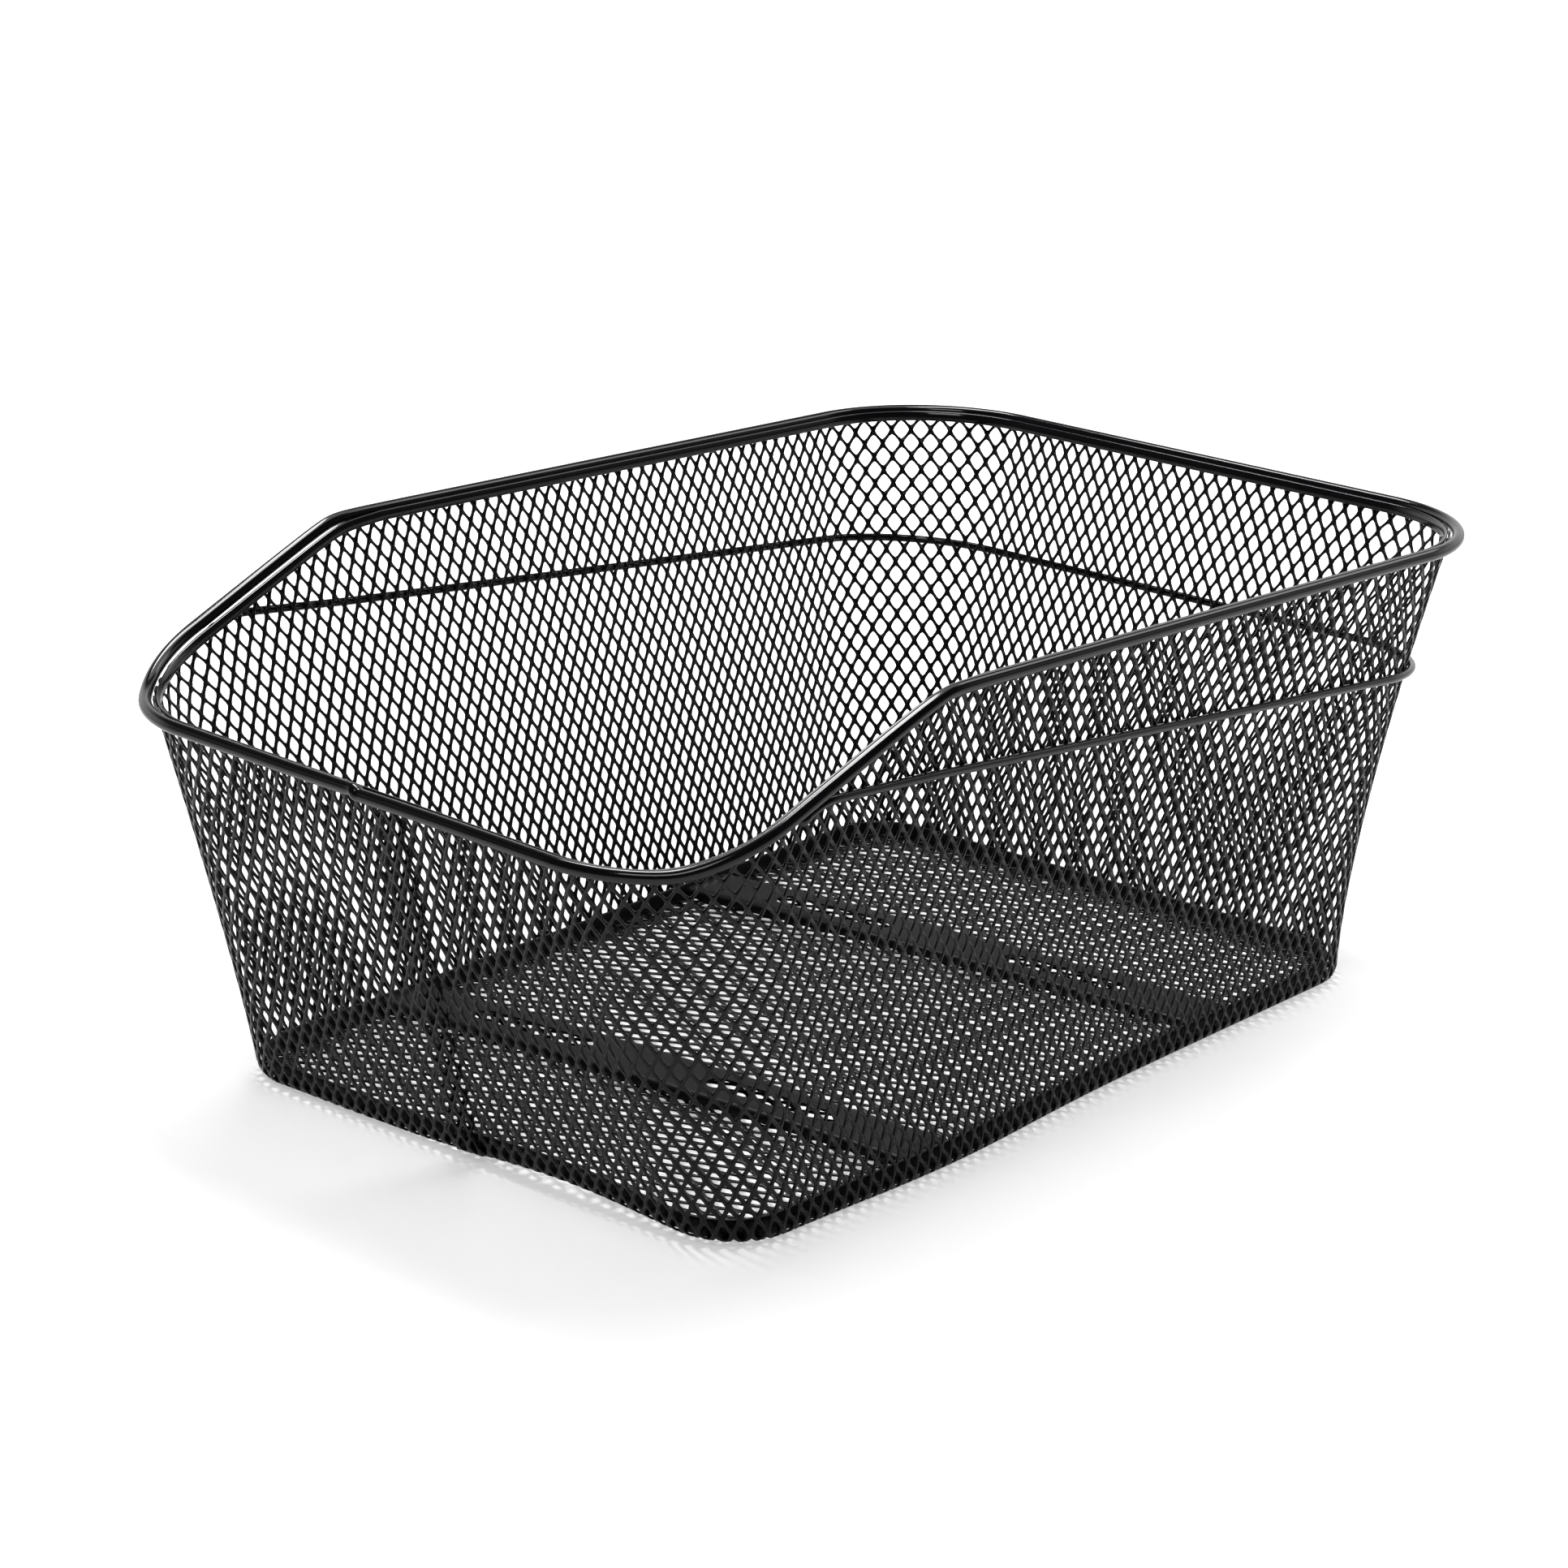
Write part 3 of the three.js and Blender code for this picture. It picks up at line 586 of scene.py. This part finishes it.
def coat_grain_group():
    """Node group of a powder coat: fine orange peel for the bump and slow mottling for the sheen."""
    name = "Coat grain"
    if name in bpy.data.node_groups:
        return bpy.data.node_groups[name]
    group = bpy.data.node_groups.new(name, "ShaderNodeTree")
    group.interface.new_socket("Grain size", in_out="INPUT", socket_type="NodeSocketFloat")
    group.interface.new_socket("Roughness", in_out="INPUT", socket_type="NodeSocketFloat")
    group.interface.new_socket("Colour", in_out="INPUT", socket_type="NodeSocketColor")
    group.interface.new_socket("Peel", in_out="OUTPUT", socket_type="NodeSocketFloat")
    group.interface.new_socket("Sheen", in_out="OUTPUT", socket_type="NodeSocketFloat")
    group.interface.new_socket("Tint", in_out="OUTPUT", socket_type="NodeSocketColor")
    nodes, links = group.nodes, group.links
    given = nodes.new("NodeGroupInput")
    made = nodes.new("NodeGroupOutput")
    coords = nodes.new("ShaderNodeTexCoord")
    density = nodes.new("ShaderNodeMath")
    density.operation = "DIVIDE"
    density.inputs[0].default_value = 1
    links.new(given.outputs["Grain size"], density.inputs[1])
    peel = nodes.new("ShaderNodeTexNoise")
    peel.inputs["Detail"].default_value = PEEL_DETAIL
    links.new(coords.outputs["Object"], peel.inputs["Vector"])
    links.new(density.outputs[0], peel.inputs["Scale"])
    mottle = nodes.new("ShaderNodeTexNoise")
    mottle.inputs["Scale"].default_value = MOTTLE_SCALE
    mottle.inputs["Detail"].default_value = MOTTLE_DETAIL
    links.new(coords.outputs["Object"], mottle.inputs["Vector"])
    spread = nodes.new("ShaderNodeMapRange")
    spread.inputs["From Min"].default_value, spread.inputs["From Max"].default_value = MOTTLE_RANGE
    spread.inputs["To Min"].default_value, spread.inputs["To Max"].default_value = MOTTLE_EFFECT
    links.new(mottle.outputs["Fac"], spread.inputs["Value"])
    sheen = nodes.new("ShaderNodeMath")
    sheen.operation = "MULTIPLY"
    links.new(given.outputs["Roughness"], sheen.inputs[0])
    links.new(spread.outputs["Result"], sheen.inputs[1])
    tint = nodes.new("ShaderNodeVectorMath")
    tint.operation = "SCALE"
    links.new(given.outputs["Colour"], tint.inputs[0])
    links.new(spread.outputs["Result"], tint.inputs["Scale"])
    links.new(peel.outputs["Fac"], made.inputs["Peel"])
    links.new(sheen.outputs[0], made.inputs["Sheen"])
    links.new(tint.outputs[0], made.inputs["Tint"])
    return group


def coat_material(name, kind):
    """Black powder coat of one kind of piece: tinted, slightly uneven in sheen, with fine orange peel."""
    if name in bpy.data.materials:
        return bpy.data.materials[name]
    finish = bpy.context.scene.basket_finish
    material = bpy.data.materials.new(name)
    material.use_nodes = True
    nodes, links = material.node_tree.nodes, material.node_tree.links
    shader = nodes["Principled BSDF"]
    grain = nodes.new("ShaderNodeGroup")
    grain.node_tree = coat_grain_group()
    grain.inputs["Grain size"].default_value = finish.grain_size
    grain.inputs["Roughness"].default_value = getattr(finish, f"{kind}_rough")
    grain.inputs["Colour"].default_value = (*getattr(finish, f"{kind}_colour"), 1)
    bump = nodes.new("ShaderNodeBump")
    bump.inputs["Strength"].default_value = PEEL_STRENGTH
    bump.inputs["Distance"].default_value = PEEL_HEIGHT
    links.new(grain.outputs["Peel"], bump.inputs["Height"])
    links.new(grain.outputs["Tint"], shader.inputs["Base Color"])
    links.new(grain.outputs["Sheen"], shader.inputs["Roughness"])
    links.new(bump.outputs["Normal"], shader.inputs["Normal"])
    shader.inputs["Specular IOR Level"].default_value = getattr(finish, f"{kind}_shine")
    return material


def joined(tree, operation, first, second):
    """Math node of two sockets or numbers; gives its output."""
    node = tree.nodes.new("ShaderNodeMath")
    node.operation = operation
    for socket, value in zip(node.inputs, (first, second)):
        if isinstance(value, (int, float)):
            socket.default_value = value
        else:
            tree.links.new(value, socket)
    return node.outputs[0]


def ramp(tree, value, low, high, start, end):
    """Smooth ramp of a value from one number to another; gives its output."""
    node = tree.nodes.new("ShaderNodeMapRange")
    node.interpolation_type = "SMOOTHSTEP"
    tree.links.new(value, node.inputs["Value"])
    numbers = {"From Min": low, "From Max": high, "To Min": start, "To Max": end}
    for name, number in numbers.items():
        node.inputs[name].default_value = number
    return node.outputs["Result"]


def along_way(tree, coordinate, way):
    """How far a coordinate lies along a direction."""
    coords = tree.nodes.new("ShaderNodeTexCoord")
    dot = tree.nodes.new("ShaderNodeVectorMath")
    dot.operation = "DOT_PRODUCT"
    dot.inputs[1].default_value = way
    tree.links.new(coords.outputs[coordinate], dot.inputs[0])
    return dot.outputs["Value"]


def studio_world():
    """White backdrop behind the basket and a dim room on the other sides, dark above in reflections."""
    world = bpy.data.worlds.new("studio")
    world.use_nodes = True
    tree = world.node_tree
    background = tree.nodes["Background"]
    background.inputs["Color"].default_value = (1, 1, 1, 1)
    seen = tree.nodes.new("ShaderNodeLightPath").outputs
    backwards = along_way(tree, "Generated", BACKDROP_WAY)
    upwards = along_way(tree, "Generated", CEILING_WAY)
    room = ramp(tree, backwards, *BACKDROP_RANGE, ROOM_LIGHT, 1)
    ceiling = ramp(tree, upwards, *CEILING_RANGE, 1, ROOM_LIGHT)
    mirrored = joined(tree, "MULTIPLY", seen["Is Glossy Ray"], ceiling)
    matt = joined(tree, "SUBTRACT", 1, seen["Is Glossy Ray"])
    scattered = joined(tree, "MULTIPLY", matt, WORLD_LIGHT)
    shown = joined(tree, "MULTIPLY", room, joined(tree, "ADD", mirrored, scattered))
    watched = joined(tree, "MAXIMUM", seen["Is Camera Ray"], seen["Is Transmission Ray"])
    strength = joined(tree, "MAXIMUM", shown, watched)
    tree.links.new(strength, background.inputs["Strength"])
    return world


def floor_material(shade):
    """Matt white floor that also glows to the camera, fully beyond the shadow, and in reflections."""
    material = bpy.data.materials.new("Studio floor")
    material.use_nodes = True
    tree = material.node_tree
    nodes, links = tree.nodes, tree.links
    nodes.clear()
    output = nodes.new("ShaderNodeOutputMaterial")
    matt = nodes.new("ShaderNodeBsdfDiffuse")
    matt.inputs["Color"].default_value = (*shade, 1)
    glow = nodes.new("ShaderNodeEmission")
    seen = nodes.new("ShaderNodeLightPath").outputs
    coords = nodes.new("ShaderNodeTexCoord")
    away = nodes.new("ShaderNodeVectorMath")
    away.operation = "DISTANCE"
    away.inputs[1].default_value = SHADOW_CENTRE
    links.new(coords.outputs["Object"], away.inputs[0])
    to_camera = ramp(tree, away.outputs["Value"], *SHADOW_RANGE, SHADOW_GLOW, 1)
    backwards = along_way(tree, "Object", BACKDROP_WAY)
    in_reflections = ramp(tree, backwards, *MIRROR_RANGE, 0, MIRROR_GLOW)
    amount = joined(
        tree,
        "MAXIMUM",
        joined(tree, "MULTIPLY", seen["Is Camera Ray"], to_camera),
        joined(tree, "MULTIPLY", seen["Is Glossy Ray"], in_reflections),
    )
    links.new(amount, glow.inputs["Strength"])
    both = nodes.new("ShaderNodeAddShader")
    links.new(matt.outputs[0], both.inputs[0])
    links.new(glow.outputs[0], both.inputs[1])
    links.new(both.outputs[0], output.inputs["Surface"])
    return material


def aim(obj, place, target):
    """Put an object at a place with its -Z axis towards a target and its X axis level."""
    back = (Vector(place) - Vector(target)).normalized()
    right = Vector((0, 0, 1)).cross(back).normalized()
    up = back.cross(right)
    obj.matrix_world = Matrix((right, up, back)).transposed().to_4x4()
    obj.location = place


class BASKET_OT_wall(bpy.types.Operator):
    """Wrap the expanded sheet round the tub, in four quarters and a lapped seam at the front"""

    bl_idname = "basket.wall"
    bl_label = "Wall Mesh"

    def execute(self, context):
        tub, sheet = context.scene.basket_tub, context.scene.basket_sheet
        place = wall_place(tub, sheet, sheet.wall_out, 0)
        period = 2 * sheet.columns
        across, up = wall_openings(np.arange(period), place, sheet, tub)
        names = ["wall_near_front", "wall_near_rear", "wall_far_rear", "wall_far_front"]
        quarter = across * len(names) // period
        material = coat_material("Sheet coat", "sheet")
        for number, name in enumerate(names):
            mine = quarter == number
            points, faces = expanded_sheet(across[mine], up[mine], period, place, sheet)
            make_piece(name, points, faces, SHEET_FLAT, "wall_mesh", material)
        lap_place = wall_place(tub, sheet, sheet.wall_out + sheet.depth, sheet.lap_phase)
        lap_across = np.arange(-sheet.lap_columns, sheet.lap_columns + 1) // 2
        across, up = wall_openings(np.unique(lap_across), lap_place, sheet, tub)
        points, faces = expanded_sheet(across, up, 0, lap_place, sheet)
        make_piece("wall_lap", points, faces, SHEET_FLAT, "wall_mesh", material)
        return {"FINISHED"}


class BASKET_OT_floor(bpy.types.Operator):
    """Lay the expanded floor panel and cut it to the tub's outline"""

    bl_idname = "basket.floor"
    bl_label = "Floor Mesh"

    def execute(self, context):
        tub, sheet = context.scene.basket_tub, context.scene.basket_sheet
        radius = tub.bottom_corner - sheet.floor_inset
        core = np.array([tub.bottom_length / 2, tub.bottom_width / 2]) - tub.bottom_corner

        def place(across, up, depth, border):
            """Lattice point moved back inside the rounded rectangle where it lies beyond its edge."""
            point = np.stack([across * sheet.floor_wide, up * sheet.floor_tall], axis=-1)
            heart = np.clip(point, -core, core)
            away = point - heart
            far = np.linalg.norm(away, axis=-1, keepdims=True)
            point = heart + away * np.minimum(1, (radius - border) / np.maximum(far, MM))
            level = np.full(point.shape[:-1], sheet.floor_level + depth)
            return np.stack([point[..., 0] + FRAME_SHIFT, point[..., 1], level], axis=-1)

        wide = 2 * int(tub.bottom_length / 2 / sheet.floor_wide) + 2
        tall = 2 * int(tub.bottom_width / 2 / sheet.floor_tall) + 2
        across, up = np.meshgrid(np.arange(-wide, wide + 1), np.arange(-tall, tall + 1))
        even = (across + up) % 2 == 0
        across, up = across[even], up[even]
        centre = np.stack([across * sheet.floor_wide / 2, up * sheet.floor_tall / 2], axis=-1)
        beyond = np.linalg.norm(centre - np.clip(centre, -core, core), axis=-1) - radius
        kept = beyond < 0
        points, faces = expanded_sheet(across[kept], up[kept], 0, place, sheet)
        material = coat_material("Sheet coat", "sheet")
        make_piece("floor_panel", points, faces, SHEET_FLAT, "floor_mesh", material)
        return {"FINISHED"}


class BASKET_OT_wires(bpy.types.Operator):
    """Bend the rim wire with its welded joint, and the reinforcing wire with its welded ends"""

    bl_idname = "basket.wires"
    bl_label = "Wires"

    def execute(self, context):
        tub, wire = context.scene.basket_tub, context.scene.basket_wire
        material = coat_material("Wire coat", "wire")
        height, start, _, rear, climb = rim_line(tub)

        # Rim: stations close together at the joint in the middle of the front
        near_joint = np.linspace(-JOINT_SHARE, JOINT_SHARE, JOINT_STATIONS)
        elsewhere = np.linspace(JOINT_SHARE, 1 - JOINT_SHARE, RIM_STATIONS)
        share = np.unique(np.concatenate([elsewhere, near_joint % 1]))
        path = follow(share, height, wire.rim_out, tub)
        way_round = np.linalg.norm(np.diff(path, axis=0), axis=1).sum()
        run = np.where(share < 0.5, share, share - 1) * way_round
        step = -np.tanh(run / STEP_REACH) * np.exp(-np.abs(run) / wire.joint_reach)
        path[:, 2] += step * wire.joint_step / 2
        radius = wire.rim_radius + wire.bead * np.exp(-((run / BEAD_REACH) ** 2))
        points, faces = tube(path, radius, RIM_SIDES, True)
        make_piece("rim", points, faces, [False], "rim_wire", material)

        # Reinforcing wire: a straight fall along the walls, brought under the rim at both ends
        drop = (wire.rim_radius + wire.mid_radius) * math.hypot(1, climb) + WELD_GAP
        begin = tub.bend_height - wire.mid_bend_drop
        fall = (tub.rear_height - wire.mid_rear_drop - begin) / (rear - start)

        def mid_height(x):
            """The lower of the wire's straight line and the line just under the rim, softly joined."""
            under = height(x) - drop
            over = begin + fall * (x - start) - under
            return under + over - 0.5 * (over + np.hypot(over, wire.mid_radius))

        side = np.linspace(*END_SEARCH, SEARCH_STATIONS)
        trial = follow(side, mid_height, wire.mid_out, tub)
        free = begin + fall * (trial[:, 0] - start) < height(trial[:, 0]) - drop
        meet = trial[np.argmax(free), 0]
        first = np.interp(meet - wire.mid_end_run, trial[:, 0], side)
        near_end = np.linspace(first, END_SHARE, MID_END_STATIONS)
        round_rear = np.linspace(END_SHARE, 1 - END_SHARE, MID_STATIONS)[1:-1]
        far_end = np.linspace(1 - END_SHARE, 1 - first, MID_END_STATIONS)
        share = np.concatenate([near_end, round_rear, far_end])
        path = follow(share, mid_height, wire.mid_out, tub)
        steps = np.linalg.norm(np.diff(path, axis=0), axis=1)
        run = np.concatenate([[0], np.cumsum(steps)])
        to_end = np.minimum(run, run[-1] - run)
        cap = np.sqrt(1 - (1 - np.clip(to_end / wire.mid_radius, BLUNT_TIP, 1)) ** 2)
        bell = np.exp(-(((to_end - END_BEAD_PLACE) / END_BEAD_REACH) ** 2))
        bead = END_BEAD_SIZE * wire.bead * bell
        points, faces = tube(path, wire.mid_radius * cap + bead * cap, MID_SIDES, False)
        make_piece("mid", points, faces, [False, True], "mid_wire", material)
        return {"FINISHED"}


class BASKET_OT_strips(bpy.types.Operator):
    """Set the flat strip inside the rim, the hoop round the floor and the two carrier straps"""

    bl_idname = "basket.strips"
    bl_label = "Strips"

    def execute(self, context):
        tub, wire = context.scene.basket_tub, context.scene.basket_wire
        height, start, end, *_ = rim_line(tub)
        share = np.linspace(0, 1, STRIP_STATIONS, endpoint=False)

        # Inner band: a little lower on the slopes, where light shows between it and the rim
        line = follow(share, height, wire.band_out, tub)
        drops = np.clip((line[:, 0] - start) / DROP_RUN, 0, 1)
        slope = drops * np.clip((end - line[:, 0]) / RISE_RUN + 1, 0, 1)
        top = line[:, 2] - wire.band_drop - wire.band_gap * slope
        bottom = top - wire.band_height
        thick, bevel = wire.band_thickness, wire.strip_round
        points, faces = strip(share, top, bottom, wire.band_out, thick, bevel, tub)
        material = coat_material("Wire coat", "wire")
        make_piece("inner_band", points, faces, [False], "rim_inner_band", material)

        # Hoop on the floor panel's edge
        bottom = np.full_like(share, wire.hoop_level)
        top = bottom + wire.hoop_height
        points, faces = strip(share, top, bottom, wire.hoop_out, wire.hoop_thickness, bevel, tub)
        material = coat_material("Strip coat", "strip")
        make_piece("hoop", points, faces, [False], "floor_hoop", material)

        # Straps: the frame's channels, cut into short lengths so that they follow the floor
        straps = {"strap_front": -wire.strap_ahead, "strap_rear": 0}
        half, turn = tub.bottom_width / 2, wire.strap_turn
        for node, shift in straps.items():
            name = f"carrier_{node}"
            channel = bmesh.new()
            channel.from_mesh(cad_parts[node].data)
            bmesh.ops.transform(channel, matrix=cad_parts[node].matrix_world, verts=channel.verts)
            bmesh.ops.remove_doubles(channel, verts=channel.verts, dist=MERGE_DISTANCE)
            for y in np.linspace(-half, half, STRAP_STATIONS)[1:-1]:
                everything = [*channel.verts, *channel.edges, *channel.faces]
                bmesh.ops.bisect_plane(channel, geom=everything, plane_co=(0, y, 0), plane_no=(0, 1, 0))
            mesh = bpy.data.meshes.new(name)
            channel.to_mesh(mesh)
            channel.free()
            points = np.empty(3 * len(mesh.vertices), np.float32)
            mesh.vertices.foreach_get("co", points)
            points = points.reshape(-1, 3).astype(float)
            centre = (points[:, 0].min() + points[:, 0].max()) / 2
            low = points[:, 2].min()
            points[:, 2] = low + (points[:, 2] - low) * wire.strap_flat
            x, y = points[:, 0] - centre, points[:, 1].copy()
            points[:, 0] = centre + shift + x * math.cos(turn) - y * math.sin(turn)
            points[:, 1] = x * math.sin(turn) + y * math.cos(turn)
            mesh.vertices.foreach_set("co", settled(points, tub).astype(np.float32).ravel())
            mesh.polygons.foreach_set("use_smooth", np.ones(len(mesh.polygons), bool))
            mesh.set_sharp_from_angle(angle=SHARP_ANGLE)
            mesh.update()
            place_piece(name, mesh, node, material)
        return {"FINISHED"}


class BASKET_OT_stage(bpy.types.Operator):
    """Set the camera, the pale floor and soft studio light"""

    bl_idname = "basket.stage"
    bl_label = "Stage"

    def execute(self, context):
        scene, stage = context.scene, context.scene.basket_stage
        scene.view_settings.view_transform = "Standard"

        camera = bpy.data.objects.new("camera", bpy.data.cameras.new("camera"))
        scene.collection.objects.link(camera)
        camera.data.lens = stage.focal
        camera.data.sensor_width = SENSOR_WIDTH
        camera.data.shift_x = stage.shift_x
        camera.data.shift_y = stage.shift_y
        camera.data.clip_end = FAR_LIMIT
        aim(camera, stage.camera_place, stage.camera_target)
        scene.camera = camera

        # Floor: diffuse white with a little light of its own to the camera, so that shadows stay
        mesh = bpy.data.meshes.new("floor")
        ways = ((-1, -1), (1, -1), (1, 1), (-1, 1))
        corners = [(x * FLOOR_REACH, y * FLOOR_REACH, FLOOR_LEVEL) for x, y in ways]
        mesh.from_pydata(corners, [], [(0, 1, 2, 3)])
        floor = bpy.data.objects.new("floor", mesh)
        scene.collection.objects.link(floor)
        mesh.materials.append(floor_material(stage.floor_colour))

        scene.world = studio_world()

        for name, (place, target, wide, deep, power) in LAMPS.items():
            light = bpy.data.lights.new(name, "AREA")
            light.shape = "RECTANGLE"
            light.size, light.size_y = wide, deep
            light.energy = power
            lamp = bpy.data.objects.new(name, light)
            scene.collection.objects.link(lamp)
            aim(lamp, place, target)
        return {"FINISHED"}


OPERATORS = (BASKET_OT_wall, BASKET_OT_floor, BASKET_OT_wires, BASKET_OT_strips, BASKET_OT_stage)
SETTINGS = {
    "basket_tub": TubSizes,
    "basket_sheet": SheetSizes,
    "basket_wire": WireSizes,
    "basket_finish": FinishSettings,
    "basket_stage": StageSettings,
}


class BASKET_PT_panel(bpy.types.Panel):
    """Buttons and sizes of the basket"""

    bl_idname = "BASKET_PT_panel"
    bl_label = "Basket"
    bl_space_type = "VIEW_3D"
    bl_region_type = "UI"
    bl_category = "Basket"

    def draw(self, context):
        """List the operators and every setting."""
        for operator in OPERATORS:
            self.layout.operator(operator.bl_idname)
        for group in SETTINGS:
            settings = getattr(context.scene, group)
            for name in settings.bl_rna.properties.keys():
                if name not in {"rna_type", "name"}:
                    self.layout.prop(settings, name)


def register():
    """Register the settings, the operators and the panel."""
    for group, settings in SETTINGS.items():
        bpy.utils.register_class(settings)
        setattr(bpy.types.Scene, group, bpy.props.PointerProperty(type=settings))
    for operator in OPERATORS:
        bpy.utils.register_class(operator)
    bpy.utils.register_class(BASKET_PT_panel)


def unregister():
    """Take everything out again in reverse."""
    bpy.utils.unregister_class(BASKET_PT_panel)
    for operator in reversed(OPERATORS):
        bpy.utils.unregister_class(operator)
    for group, settings in reversed(SETTINGS.items()):
        delattr(bpy.types.Scene, group)
        bpy.utils.unregister_class(settings)


def main():
    """Build every piece and the stage."""
    register()
    bpy.ops.basket.stage()
    bpy.ops.basket.wall()
    bpy.ops.basket.floor()
    bpy.ops.basket.wires()
    bpy.ops.basket.strips()


if __name__ == "__main__":
    main()
